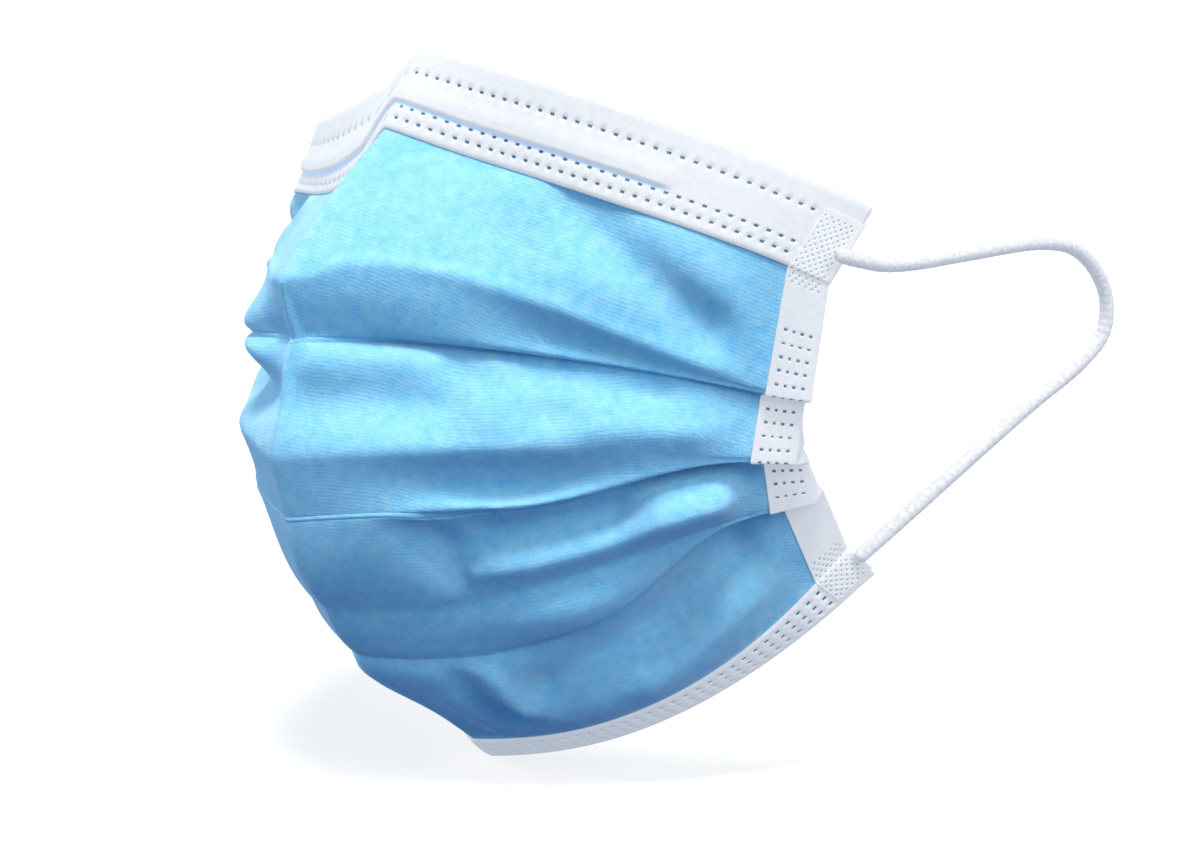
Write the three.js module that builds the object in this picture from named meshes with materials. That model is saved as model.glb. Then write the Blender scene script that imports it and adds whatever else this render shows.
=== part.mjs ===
// Pleated face mask in its worn form: a three-pleat cloth body, a folded nose band over a
// flat wire, a folded chin band, two side bindings and two ear loops.
// Millimetres, +Z up. The front of the mask looks along -Y and the two halves mirror each
// other across X = 0. The origin is the top of the nose, in the middle of the upper edge.
import * as THREE from "three";

// Worn form: side edge to side edge, nose to chin, and frontmost pleat to upper corners.
const WORN_WIDTH = 124;
const WORN_HEIGHT = 126;
const WORN_DEPTH = 80;

// Cloth walls, and the clearance between one layer and the next.
const BODY_CLOTH = 1.0;
const BAND_CLOTH = 1.0;
const BINDING_CLOTH = 1.0;
const SEAT_GAP = 0.3;

// Widths of the folded trims, how far the raw cloth edges stop short of the fold of the side
// binding, and the cloth that each pleat takes up.
const NOSE_BAND_WIDTH = 15.5;
const CHIN_BAND_WIDTH = 6.8;
const BINDING_WIDTH = 8.3;
const RAW_EDGE_INSET = 4.6;
const PLEAT_FOLD = 10.5;

// The nose pinch: how far it lifts and pushes the upper edge, and its half width.
const NOSE_PINCH = 4.0;
const NOSE_PINCH_WIDTH = 13.0;

// The nose wire, its distance below the upper edge, and the room beyond its ends.
const WIRE_LENGTH = 108;
const WIRE_WIDTH = 3.0;
const WIRE_THICKNESS = 0.8;
const WIRE_DROP = 7.2;
const POCKET_ROOM = 1.5;

// The ear loops.
const CORD_DIAMETER = 2.5;
const CORD_SIDES = 8;
const CORD_STEPS = 52;

// Columns of the cloth from the centre ridge outwards: under the wire, and beyond it.
const COLUMNS_UNDER_WIRE = 14;
const COLUMNS_BEYOND_WIRE = 5;

// The lines that run across the mask from the centre ridge to the side edge. At the ridge,
// forward is a share of the depth and drop of the height. At the side edge, out is a share
// of the half width, back of the depth and fall of the height.
const LINE_PLACES = [
  { line: "top", forward: 0.0, drop: 0.0, out: 1.02, back: 0.56, fall: 0.203 },
  { line: "nose band", forward: 0.11, drop: 0.11, out: 1.01, back: 0.46, fall: 0.28 },
  { line: "pleat 1", forward: 0.395, drop: 0.294, out: 1.0, back: 0.4, fall: 0.445 },
  { line: "pleat 2", forward: 0.42, drop: 0.531, out: 0.955, back: 0.39, fall: 0.532 },
  { line: "pleat 3", forward: 0.255, drop: 0.745, out: 0.91, back: 0.48, fall: 0.594 },
  { line: "chin band", forward: -0.128, drop: 0.977, out: 0.86, back: 0.655, fall: 0.694 },
  { line: "bottom", forward: -0.182, drop: 0.999, out: 0.887, back: 0.69, fall: 0.715 },
];

// How each line bends: its turn from straight across, in degrees seen from above, at the
// ridge and at the side; its slope down at both ends; its part in the nose pinch.
const LINE_BENDS = [
  { line: "top", ridgeTurn: 0, sideTurn: 80, ridgeSlope: 0.085, sideSlope: 0.44, push: 0.1, lift: 0.12 },
  { line: "nose band", ridgeTurn: 3, sideTurn: 78, ridgeSlope: 0.28, sideSlope: 0.65, push: 1.03, lift: 0.65 },
  { line: "pleat 1", ridgeTurn: 30, sideTurn: 64, ridgeSlope: -0.233, sideSlope: 0.127, push: 0, lift: 0 },
  { line: "pleat 2", ridgeTurn: 17, sideTurn: 67, ridgeSlope: -0.157, sideSlope: 0.087, push: 0, lift: 0 },
  { line: "pleat 3", ridgeTurn: 23, sideTurn: 66, ridgeSlope: 0.068, sideSlope: -0.12, push: 0, lift: 0 },
  { line: "chin band", ridgeTurn: 19, sideTurn: 73, ridgeSlope: -0.09, sideSlope: -0.867, push: 0, lift: 0 },
  { line: "bottom", ridgeTurn: 19, sideTurn: 62, ridgeSlope: -0.126, sideSlope: -0.84, push: 0, lift: 0 },
];
const RIDGE_HANDLE = 0.4;
const SIDE_HANDLE = 0.36;

// The pleats, from the top: the lean of the opened fold towards the face, in degrees, and
// the shares of the half length where it is a plain step and where it is folded shut.
const PLEATS = [
  { line: "pleat 1", next: "pleat 2", lean: 20, step: 0.22, shut: 0.9 },
  { line: "pleat 2", next: "pleat 3", lean: -10, step: 0.4, shut: 0.92 },
  { line: "pleat 3", next: "chin band", lean: -10, step: 0.45, shut: 0.85 },
];
const SHUT_SHARE = 0.92;
const OPENING_REACH = 0.22;
const OPEN_SLOPE = 80;
const OPEN_STEP_SHARE = 0.28;
const LEAST_RETURN = 0.25;

// The panels between the lines: rows of cloth inside each, and how far it swells outwards at
// the ridge and at the cheek, as shares of the depth.
const PANELS = [
  { panel: 1, rows: 3, ridge: 0.012, cheek: 0.025 },
  { panel: 2, rows: 1, ridge: 0.019, cheek: 0.019 },
  { panel: 3, rows: 1, ridge: 0.025, cheek: 0.025 },
  { panel: 4, rows: 3, ridge: 0.0625, cheek: 0.0625 },
];
const SWELL_START = 0.5;
const SWELL_END = 0.6;
const SWELL_FADE = 0.3;

// The main dents: their middle across and down a panel, their reach both ways, as shares of
// the half length and of the panel, and their depth as a share of the WORN_DEPTH.
const DENTS = [
  { panel: 1, across: 0.42, down: 0.4, reachAcross: 0.16, reachDown: 0.5, depth: 0.035 },
  { panel: 3, across: 0.38, down: 0.4, reachAcross: 0.17, reachDown: 0.6, depth: 0.03 },
  { panel: 4, across: 0.6, down: 0.4, reachAcross: 0.16, reachDown: 0.5, depth: 0.055 },
];

// The route of the right ear loop, chosen by hand. It leaves the outer face of the upper
// corner, stands out behind the mask and comes back to the edge of the lower corner.
const CORD_ROUTE = [
  [66.7, 34.0, -32.3],
  [67.3, 37.2, -33.2],
  [67.7, 43.0, -34.4],
  [68.2, 50.0, -34.6],
  [69.2, 62.0, -33.9],
  [71.0, 79.0, -33.1],
  [71.5, 86.6, -34.6],
  [71.8, 92.0, -38.6],
  [71.8, 95.2, -44.2],
  [71.4, 95.0, -50.2],
  [70.2, 90.8, -55.0],
  [66.9, 80.9, -62.2],
  [61.4, 66.0, -74.2],
  [57.6, 56.8, -82.0],
  [55.3, 51.65, -86.4],
];

const CLOTH_SPACING = BODY_CLOTH + SEAT_GAP;
const BAND_OFFSET = BODY_CLOTH / 2 + SEAT_GAP + BAND_CLOTH / 2;
const WIRE_OFFSET = BODY_CLOTH / 2 + SEAT_GAP + WIRE_THICKNESS / 2;
const BAND_OVER_WIRE = WIRE_OFFSET + WIRE_THICKNESS / 2 + SEAT_GAP + BAND_CLOTH / 2;
const BINDING_OVER_BODY = BODY_CLOTH / 2 + SEAT_GAP + BINDING_CLOTH / 2;
const BINDING_OVER_BAND = BAND_OFFSET + BAND_CLOTH / 2 + SEAT_GAP + BINDING_CLOTH / 2;
const STEP_ROOM = 1.2;
const HAIR = 0.05;

const materials = {
  blueCloth: new THREE.MeshStandardMaterial({ color: 0x7fc4e8, roughness: 0.9, metalness: 0 }),
  whiteCloth: new THREE.MeshStandardMaterial({ color: 0xe6e7ee, roughness: 0.9, metalness: 0 }),
  wire: new THREE.MeshStandardMaterial({ color: 0xf2f2f2, roughness: 0.45, metalness: 0 }),
  cord: new THREE.MeshStandardMaterial({ color: 0xf0f0f3, roughness: 0.95, metalness: 0 }),
};

const radians = THREE.MathUtils.degToRad;

function rise(value, start, end) {
  return THREE.MathUtils.smoothstep(value, start, end);
}

function along(start, direction, distance) {
  return start.clone().addScaledVector(direction, distance);
}

function directionTo(start, end) {
  return end.clone().sub(start).normalize();
}

// The side of a strip that faces away from the wearer: its normal turned to the front.
function outwardNormal(across, down) {
  const normal = across.clone().cross(down).normalize();
  return normal.y > 0 ? normal.negate() : normal;
}

function turned(direction, towards, angle) {
  return direction.clone().multiplyScalar(Math.cos(angle)).addScaledVector(towards, Math.sin(angle)).normalize();
}

// A line across the right half of the mask, measured from the ridge along its length.
function makeLine(place, bend) {
  const push = bend.push * NOSE_PINCH;
  const lift = bend.lift * NOSE_PINCH;
  const start = new THREE.Vector3(0, push - place.forward * WORN_DEPTH, -place.drop * WORN_HEIGHT - lift);
  const end = new THREE.Vector3(
    (place.out * WORN_WIDTH) / 2,
    place.back * WORN_DEPTH,
    -place.fall * WORN_HEIGHT,
  );
  const span = Math.hypot(end.x - start.x, end.y - start.y);
  const heading = (turn, slope) => {
    const angle = radians(turn);
    return new THREE.Vector3(Math.cos(angle), Math.sin(angle), -slope);
  };
  const ridgeHandle = along(start, heading(bend.ridgeTurn, bend.ridgeSlope), RIDGE_HANDLE * span);
  const sideHandle = along(end, heading(bend.sideTurn, bend.sideSlope), -SIDE_HANDLE * span);
  const curve = new THREE.CubicBezierCurve3(start, ridgeHandle, sideHandle, end);
  const length = curve.getLength();
  const pointAt = (distance) => {
    const point = curve.getPointAt(Math.min(1, Math.abs(distance) / length));
    const pinch = Math.exp(-((distance / NOSE_PINCH_WIDTH) ** 2));
    point.y -= push * pinch;
    point.z += lift * pinch;
    return distance < 0 ? point.setX(-point.x) : point;
  };
  return { length, pointAt };
}

const lines = {};
for (const place of LINE_PLACES) {
  const bend = LINE_BENDS.find((row) => row.line === place.line);
  lines[place.line] = makeLine(place, bend);
}

// A column runs from 0 at the ridge to 1 at the free edge of the side binding, and on to 2
// at the side edge. It gives the distance along a line.
function columnDistance(line, column) {
  const inner = line.length - BINDING_WIDTH;
  return column <= 1 ? column * inner : inner + (column - 1) * BINDING_WIDTH;
}

// Points and directions of the cloth's lines in one column of the right half.
function columnFrame(column) {
  const points = {};
  const across = {};
  for (const [name, line] of Object.entries(lines)) {
    const distance = columnDistance(line, column);
    points[name] = line.pointAt(distance);
    across[name] = directionTo(line.pointAt(distance - HAIR), line.pointAt(distance + HAIR));
  }
  const topDown = directionTo(points.top, points["nose band"]);
  const chinUp = directionTo(points.bottom, points["chin band"]);
  points["nose band"] = along(points.top, topDown, NOSE_BAND_WIDTH);
  points["chin band"] = along(points.bottom, chinUp, CHIN_BAND_WIDTH);
  const share = columnDistance(lines["pleat 2"], column) / lines["pleat 2"].length;
  return { points, across, share, topDown, chinUp };
}

function panelSwell(panel, share, down) {
  const cheek = rise(share, 0, SWELL_START);
  const fade = 1 - rise(share, SWELL_END, SWELL_END + SWELL_FADE);
  let swell = (panel.ridge + (panel.cheek - panel.ridge) * cheek) * fade * Math.sin(Math.PI * down);
  for (const dent of DENTS.filter((row) => row.panel === panel.panel)) {
    const sideways = (share - dent.across) / dent.reachAcross;
    const downwards = (down - dent.down) / dent.reachDown;
    swell -= dent.depth * Math.exp(-(sideways ** 2) - downwards ** 2) * Math.sin(Math.PI * down) * fade;
  }
  return swell * WORN_DEPTH;
}

// One pleat in one column: the crease, the lower edge of the opened strip, the two ends of
// the return behind it, and the place where the next panel comes out from under the edge.
function foldPleat(pleat, frame, start) {
  const { points, across, share } = frame;
  const crease = points[pleat.line];
  const down = directionTo(start, crease);
  const outward = outwardNormal(across[pleat.line], down);
  const inward = outward.clone().negate();
  const chord = directionTo(crease, points[pleat.next]);
  const chordInward = outwardNormal(across[pleat.line], chord).negate();
  const stripDown = turned(chord, chordInward, radians(pleat.lean));
  const closed = SHUT_SHARE * rise(share, pleat.step, pleat.shut);
  const opened = rise(pleat.step - share, 0, OPENING_REACH);
  const edge = along(crease, stripDown, PLEAT_FOLD * (1 - closed));
  const back = turned(inward, down, radians(OPEN_SLOPE * opened));
  const spacing = CLOTH_SPACING * (1 - (1 - OPEN_STEP_SHARE) * opened);
  const up = down.clone().multiplyScalar(opened - 1).addScaledVector(back, opened).normalize();
  const height = PLEAT_FOLD * closed + LEAST_RETURN;
  const tucked = along(edge, back, spacing);
  const valley = along(tucked, up, height);
  const valleyBack = along(valley, back, spacing);
  const below = points[pleat.next];
  const downBelow = directionTo(valleyBack, below);
  const clear = along(valleyBack, downBelow, height + SEAT_GAP);
  return { crease, edge, tucked, valley, valleyBack, clear, height, down, outward };
}

// The whole cloth in one column, as rows from the upper edge to the lower edge, and the
// panels as straight lines with the levels that they cover, for the side binding.
function clothColumn(column) {
  const frame = columnFrame(column);
  const { points, across, share, topDown, chinUp } = frame;
  const bandLine = points["nose band"];
  const chinLine = points["chin band"];
  const bandOut = outwardNormal(across["nose band"], topDown);
  const chinOut = outwardNormal(across["chin band"], chinUp.clone().negate());
  const underBandLevels = [BAND_CLOTH + SEAT_GAP, WIRE_DROP, WIRE_DROP + WIRE_WIDTH];
  const rows = [...underBandLevels.map((level) => along(points.top, topDown, level)), bandLine];
  const panels = [];
  const creases = {};
  let start = bandLine;
  let level = NOSE_BAND_WIDTH;
  const addPanel = (index, from, to, line) => {
    const outward = outwardNormal(across[line], directionTo(from, to));
    const { rows: count } = PANELS[index];
    for (let step = 1; step <= count; step += 1) {
      const down = step / (count + 1);
      const point = from.clone().lerp(to, down);
      rows.push(point.addScaledVector(outward, panelSwell(PANELS[index], share, down)));
    }
  };
  let panelStart = bandLine;
  PLEATS.forEach((pleat, index) => {
    const fold = foldPleat(pleat, frame, start);
    addPanel(index, start, fold.crease, pleat.line);
    rows.push(fold.crease, fold.edge, fold.tucked, fold.valley, fold.valleyBack, fold.clear);
    creases[pleat.line] = rows.length;
    const reach = panelStart.distanceTo(fold.crease) + fold.crease.distanceTo(fold.edge);
    panels.push({ start: panelStart, down: fold.down, outward: fold.outward, level, end: level + reach });
    level += reach - fold.height;
    panelStart = fold.valleyBack;
    start = fold.clear;
  });
  addPanel(PLEATS.length, start, chinLine, "chin band");
  const down = directionTo(panelStart, chinLine);
  const outward = outwardNormal(across["chin band"], down);
  const end = level + panelStart.distanceTo(chinLine);
  panels.push({ start: panelStart, down, outward, level, end });
  rows.push(chinLine, along(points.bottom, chinUp, CHIN_BAND_WIDTH / 2));
  rows.push(along(points.bottom, chinUp, BAND_CLOTH + SEAT_GAP));
  return { rows, panels, points, topDown, chinUp, bandOut, chinOut };
}

// The shift that puts a corner of the cloth one half wall out from every face that meets
// there, found by least squares over the face normals.
function cornerShift(normals, distance) {
  const sums = new Array(9).fill(0);
  const total = new THREE.Vector3();
  for (const normal of normals) {
    const parts = normal.toArray();
    for (let row = 0; row < 3; row += 1) {
      for (let column = 0; column < 3; column += 1) {
        sums[row * 3 + column] += parts[row] * parts[column];
      }
    }
    total.addScaledVector(normal, distance);
  }
  const steadied = 0.002;
  sums[0] += steadied;
  sums[4] += steadied;
  sums[8] += steadied;
  const matrix = new THREE.Matrix3().set(...sums).invert();
  return total.applyMatrix3(matrix);
}

// A closed cloth wall round a grid of middle points, its edges cut square.
function clothWall(grid, wall) {
  const rowCount = grid.length;
  const columnCount = grid[0].length;
  const faceNormals = [];
  for (let row = 0; row < rowCount - 1; row += 1) {
    faceNormals.push([]);
    for (let column = 0; column < columnCount - 1; column += 1) {
      const first = grid[row + 1][column + 1].clone().sub(grid[row][column]);
      const second = grid[row + 1][column].clone().sub(grid[row][column + 1]);
      faceNormals[row].push(first.cross(second).normalize());
    }
  }
  const positions = [];
  for (const side of [1, -1]) {
    for (let row = 0; row < rowCount; row += 1) {
      for (let column = 0; column < columnCount; column += 1) {
        const around = [];
        for (const [up, left] of [[1, 1], [1, 0], [0, 1], [0, 0]]) {
          const normal = faceNormals[row - up]?.[column - left];
          if (normal) around.push(normal);
        }
        const shift = cornerShift(around, (side * wall) / 2);
        positions.push(...grid[row][column].clone().add(shift).toArray());
      }
    }
  }
  const at = (side, row, column) => (side * rowCount + row) * columnCount + column;
  const indices = [];
  const addQuad = (a, b, c, d) => indices.push(a, b, c, a, c, d);
  for (let row = 0; row < rowCount - 1; row += 1) {
    for (let column = 0; column < columnCount - 1; column += 1) {
      const corners = [[row, column], [row + 1, column], [row + 1, column + 1], [row, column + 1]];
      const [a, b, c, d] = corners.map(([r, k]) => at(0, r, k));
      addQuad(a, d, c, b);
      const [e, f, g, h] = corners.map(([r, k]) => at(1, r, k));
      addQuad(e, f, g, h);
    }
  }
  for (let column = 0; column < columnCount - 1; column += 1) {
    const last = rowCount - 1;
    addQuad(at(0, 0, column), at(1, 0, column), at(1, 0, column + 1), at(0, 0, column + 1));
    addQuad(at(0, last, column + 1), at(1, last, column + 1), at(1, last, column), at(0, last, column));
  }
  for (let row = 0; row < rowCount - 1; row += 1) {
    const last = columnCount - 1;
    addQuad(at(0, row + 1, 0), at(1, row + 1, 0), at(1, row, 0), at(0, row, 0));
    addQuad(at(0, row, last), at(1, row, last), at(1, row + 1, last), at(0, row + 1, last));
  }
  const geometry = new THREE.BufferGeometry();
  geometry.setAttribute("position", new THREE.Float32BufferAttribute(positions, 3));
  geometry.setIndex(indices);
  return facingOut(geometry);
}

// The same solid with its triangles turned so that they face out.
function facingOut(geometry) {
  const index = geometry.getIndex();
  const corner = (place) => new THREE.Vector3().fromBufferAttribute(geometry.getAttribute("position"), place);
  let volume = 0;
  for (let face = 0; face < index.count; face += 3) {
    const [a, b, c] = [0, 1, 2].map((step) => corner(index.getX(face + step)));
    volume += a.dot(b.cross(c));
  }
  if (volume < 0) {
    for (let face = 0; face < index.count; face += 3) {
      const kept = index.getX(face + 1);
      index.setX(face + 1, index.getX(face + 2));
      index.setX(face + 2, kept);
    }
  }
  geometry.computeVertexNormals();
  return geometry;
}

// Columns of the right half: even steps under the wire, beyond it and inside the binding.
const wireColumn = WIRE_LENGTH / 2 / (lines.top.length - BINDING_WIDTH);
const pocketColumn = (WIRE_LENGTH / 2 + POCKET_ROOM) / (lines.top.length - BINDING_WIDTH);
const bodyEnd = 2 - RAW_EDGE_INSET / BINDING_WIDTH;
const webMiddle = 2 - BINDING_CLOTH / 2 / BINDING_WIDTH;
const bindingColumns = [1, bodyEnd, webMiddle];

function evenSteps(start, end, count) {
  return Array.from({ length: count }, (_, step) => start + ((end - start) * (step + 1)) / count);
}

const underWire = [0, ...evenSteps(0, wireColumn, COLUMNS_UNDER_WIRE)];
const clothColumns = [
  ...underWire,
  pocketColumn,
  ...evenSteps(pocketColumn, 1, COLUMNS_BEYOND_WIRE),
  bodyEnd,
];

// A grid over both halves from the rows of each right-hand column.
function mirroredGrid(columns, rowsAt) {
  const right = columns.map(rowsAt);
  const left = right.slice(1).reverse().map((rows) => rows.map((point) => point.clone().setX(-point.x)));
  const all = [...left, ...right];
  return all[0].map((_, row) => all.map((rows) => rows[row]));
}

// A point on the straight cloth under a band, at a level below the band's folded edge.
function underBand(edge, direction, outward, level, offset) {
  return along(along(edge, direction, level), outward, offset);
}

function noseBandRows(column) {
  const { points, topDown, bandOut } = clothColumn(column);
  const wireTop = WIRE_DROP - 2 * SEAT_GAP;
  const wireBottom = WIRE_DROP + WIRE_WIDTH + 2 * SEAT_GAP;
  const slope = WIRE_THICKNESS + SEAT_GAP;
  const over = column <= pocketColumn ? BAND_OVER_WIRE : BAND_OFFSET;
  const profile = [
    { level: NOSE_BAND_WIDTH, offset: BAND_OFFSET },
    { level: wireBottom + slope, offset: BAND_OFFSET },
    { level: wireBottom, offset: over },
    { level: wireTop, offset: over },
    { level: wireTop - slope, offset: BAND_OFFSET },
    { level: BAND_CLOTH / 2, offset: BAND_OFFSET },
    { level: BAND_CLOTH / 2, offset: -BAND_OFFSET },
    { level: WIRE_DROP, offset: -BAND_OFFSET },
    { level: WIRE_DROP + WIRE_WIDTH, offset: -BAND_OFFSET },
    { level: NOSE_BAND_WIDTH, offset: -BAND_OFFSET },
  ];
  return profile.map((row) => underBand(points.top, topDown, bandOut, row.level, row.offset));
}

function wireRows(column) {
  const { points, topDown, bandOut } = clothColumn(column);
  const levels = [WIRE_DROP, WIRE_DROP + WIRE_WIDTH];
  return levels.map((level) => underBand(points.top, topDown, bandOut, level, WIRE_OFFSET));
}

function chinBandRows(column) {
  const { points, chinUp, chinOut } = clothColumn(column);
  const profile = [
    { level: CHIN_BAND_WIDTH, offset: BAND_OFFSET },
    { level: CHIN_BAND_WIDTH / 2, offset: BAND_OFFSET },
    { level: BAND_CLOTH / 2, offset: BAND_OFFSET },
    { level: BAND_CLOTH / 2, offset: -BAND_OFFSET },
    { level: CHIN_BAND_WIDTH / 2, offset: -BAND_OFFSET },
    { level: CHIN_BAND_WIDTH, offset: -BAND_OFFSET },
  ];
  return profile.map((row) => underBand(points.bottom, chinUp, chinOut, row.level, row.offset));
}

// The levels along the side edge where a leg of the binding steps over a trim or a pleat.
// Steps that come close together are spread, so that both legs keep matching rows.
function bindingSteps(panels) {
  const steps = [];
  for (let index = 0; index < PLEATS.length; index += 1) {
    const seat = SEAT_GAP + BINDING_CLOTH / 2 + STEP_ROOM / 2;
    steps.push({ level: panels[index].end + BODY_CLOTH / 2 + seat, leg: "outer", panel: index });
    steps.push({ level: panels[index + 1].level - BODY_CLOTH / 2 - seat, leg: "inner", panel: index });
  }
  steps.sort((a, b) => a.level - b.level);
  return steps;
}

function panelPoint(panel, level, offset) {
  return along(along(panel.start, panel.down, level - panel.level), panel.outward, offset);
}

// The legs of the binding in one column: matching rows from the upper to the lower edge.
function bindingLegs(column) {
  const { panels, points, topDown, bandOut, chinUp, chinOut } = clothColumn(column);
  const seat = SEAT_GAP + BINDING_CLOTH / 2 + STEP_ROOM;
  const legs = { outer: [], inner: [] };
  const addBoth = (place) => {
    legs.outer.push(place(1));
    legs.inner.push(place(-1));
  };
  const first = panels[0];
  const last = panels[panels.length - 1];
  addBoth((side) => underBand(points.top, topDown, bandOut, 0, side * BINDING_OVER_BAND));
  addBoth((side) => underBand(points.top, topDown, bandOut, NOSE_BAND_WIDTH + seat, side * BINDING_OVER_BAND));
  addBoth((side) => panelPoint(first, first.level + seat, side * BINDING_OVER_BODY));
  const layer = { outer: 0, inner: 0 };
  const spread = CLOTH_SPACING / 4;
  for (const step of bindingSteps(panels)) {
    for (const half of [-1, 1]) {
      for (const [leg, side] of [["outer", 1], ["inner", -1]]) {
        const steps = leg === step.leg;
        const panel = panels[layer[leg] + (steps && half > 0 ? 1 : 0)];
        const level = steps ? step.level : step.level + half * spread;
        legs[leg].push(panelPoint(panel, level, side * BINDING_OVER_BODY));
      }
    }
    layer[step.leg] += 1;
  }
  addBoth((side) => panelPoint(last, last.end - seat, side * BINDING_OVER_BODY));
  addBoth((side) => underBand(points.bottom, chinUp, chinOut, CHIN_BAND_WIDTH + seat, side * BINDING_OVER_BAND));
  addBoth((side) => underBand(points.bottom, chinUp, chinOut, 0, side * BINDING_OVER_BAND));
  return legs;
}

function bindingGrid(side) {
  const legs = bindingColumns.map(bindingLegs);
  const round = [...legs.map((leg) => leg.outer), ...legs.map((leg) => leg.inner).reverse()];
  return round[0].map((_, row) => round.map((rows) => {
    const point = rows[row].clone();
    return point.setX(side * point.x);
  }));
}

function earLoop(side) {
  const route = CORD_ROUTE.map(([x, y, z]) => new THREE.Vector3(side * x, y, z));
  const section = new THREE.Shape();
  for (let corner = 0; corner < CORD_SIDES; corner += 1) {
    const angle = (2 * Math.PI * corner) / CORD_SIDES;
    const point = [(CORD_DIAMETER / 2) * Math.cos(angle), (CORD_DIAMETER / 2) * Math.sin(angle)];
    if (corner === 0) section.moveTo(...point);
    else section.lineTo(...point);
  }
  section.closePath();
  return new THREE.ExtrudeGeometry(section, {
    steps: CORD_STEPS,
    bevelEnabled: false,
    extrudePath: new THREE.CatmullRomCurve3(route, false, "centripetal"),
  });
}

function namedMesh(name, geometry, material) {
  const mesh = new THREE.Mesh(geometry, material);
  mesh.name = name;
  return mesh;
}

const mask = new THREE.Group();
const bodyGrid = mirroredGrid(clothColumns, (column) => clothColumn(column).rows);
mask.add(namedMesh("pleated_body", clothWall(bodyGrid, BODY_CLOTH), materials.blueCloth));
const noseGrid = mirroredGrid(clothColumns, noseBandRows);
mask.add(namedMesh("nose_band", clothWall(noseGrid, BAND_CLOTH), materials.whiteCloth));
const wireGrid = mirroredGrid(underWire, wireRows);
mask.add(namedMesh("nose_wire", clothWall(wireGrid, WIRE_THICKNESS), materials.wire));
const chinGrid = mirroredGrid(clothColumns, chinBandRows);
mask.add(namedMesh("chin_band", clothWall(chinGrid, BAND_CLOTH), materials.whiteCloth));
for (const [name, side] of [["right", 1], ["left", -1]]) {
  const binding = clothWall(bindingGrid(side), BINDING_CLOTH);
  mask.add(namedMesh(`side_binding_${name}`, binding, materials.whiteCloth));
  mask.add(namedMesh(`ear_loop_${name}`, earLoop(side), materials.cord));
}

export default mask;
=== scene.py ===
import math

import bmesh
import bpy
import numpy as np
from mathutils import Matrix, Vector


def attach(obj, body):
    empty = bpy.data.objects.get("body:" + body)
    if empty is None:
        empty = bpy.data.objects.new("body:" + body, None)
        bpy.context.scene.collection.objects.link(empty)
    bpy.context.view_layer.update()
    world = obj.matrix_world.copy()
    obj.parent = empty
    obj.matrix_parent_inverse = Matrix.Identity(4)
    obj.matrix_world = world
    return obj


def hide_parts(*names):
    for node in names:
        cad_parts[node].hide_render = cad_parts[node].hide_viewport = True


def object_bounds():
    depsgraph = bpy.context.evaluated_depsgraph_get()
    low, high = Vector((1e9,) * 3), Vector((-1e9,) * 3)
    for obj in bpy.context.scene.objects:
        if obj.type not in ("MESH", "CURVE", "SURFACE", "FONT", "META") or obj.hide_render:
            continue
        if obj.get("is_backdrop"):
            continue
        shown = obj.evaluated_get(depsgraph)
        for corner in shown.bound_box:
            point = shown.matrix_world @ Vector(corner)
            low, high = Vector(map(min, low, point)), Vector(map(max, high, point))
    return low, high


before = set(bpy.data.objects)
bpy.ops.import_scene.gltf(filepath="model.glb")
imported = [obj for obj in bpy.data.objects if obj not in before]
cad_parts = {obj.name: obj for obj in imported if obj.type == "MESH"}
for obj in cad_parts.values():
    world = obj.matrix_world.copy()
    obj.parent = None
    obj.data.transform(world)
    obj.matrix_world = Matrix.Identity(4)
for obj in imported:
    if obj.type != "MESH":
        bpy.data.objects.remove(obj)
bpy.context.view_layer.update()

MM = 0.001

# Worn form and trims, in millimetres, as the frame has them.
WORN_WIDTH = 124.0
WORN_HEIGHT = 126.0
WORN_DEPTH = 80.0
LAYER_SPACING = 1.3
NOSE_BAND_WIDTH = 15.5
CHIN_BAND_WIDTH = 6.8
BINDING_WIDTH = 8.3
PLEAT_FOLD = 10.5
NOSE_PINCH = 4.0
NOSE_PINCH_WIDTH = 13.0
WIRE_LENGTH = 108.0
WIRE_WIDTH = 3.0
WIRE_DROP = 7.2
WIRE_THICKNESS = 0.5
CORD_DIAMETER = 2.5

# The clearances between the layers, and how far the cloth stops short of the side edge.
BAND_GAP = 0.08
BINDING_GAP = 0.1
OVER_BAND_GAP = 0.06
WIRE_GAP = 0.15
BODY_INSET = 2.2
BAND_INSET = 0.4
BINDING_INSET = 0.3

# Real cloth is thinner than the solid walls.
BODY_CLOTH = 0.5
BAND_CLOTH = 0.4
BINDING_CLOTH = 0.22

# The cloth's own coordinates are its millimetres times this.
CLOTH_SCALE = 0.01

LINE_PLACES = {
    # forward and drop at the ridge; out, back and fall at the side edge
    "top": (0.0, 0.0, 1.02, 0.56, 0.203),
    "nose band": (0.11, 0.11, 1.01, 0.46, 0.28),
    "pleat 1": (0.395, 0.294, 1.0, 0.4, 0.445),
    "pleat 2": (0.42, 0.531, 0.955, 0.39, 0.532),
    "pleat 3": (0.255, 0.745, 0.91, 0.48, 0.594),
    "chin band": (-0.128, 0.977, 0.86, 0.655, 0.694),
    "bottom": (-0.182, 0.999, 0.887, 0.69, 0.715),
}
LINE_BENDS = {
    # turn at the ridge and the side, slope at the ridge and the side, nose push and lift
    "top": (0, 80, 0.085, 0.44, 0.1, 0.12),
    "nose band": (3, 78, 0.28, 0.65, 1.03, 0.65),
    "pleat 1": (30, 64, -0.233, 0.127, 0, 0),
    "pleat 2": (17, 67, -0.157, 0.087, 0, 0),
    "pleat 3": (23, 66, 0.068, -0.12, 0, 0),
    "chin band": (19, 73, -0.09, -0.867, 0, 0),
    "bottom": (19, 62, -0.126, -0.84, 0, 0),
}
RIDGE_HANDLE = 0.4
SIDE_HANDLE = 0.36
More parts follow.
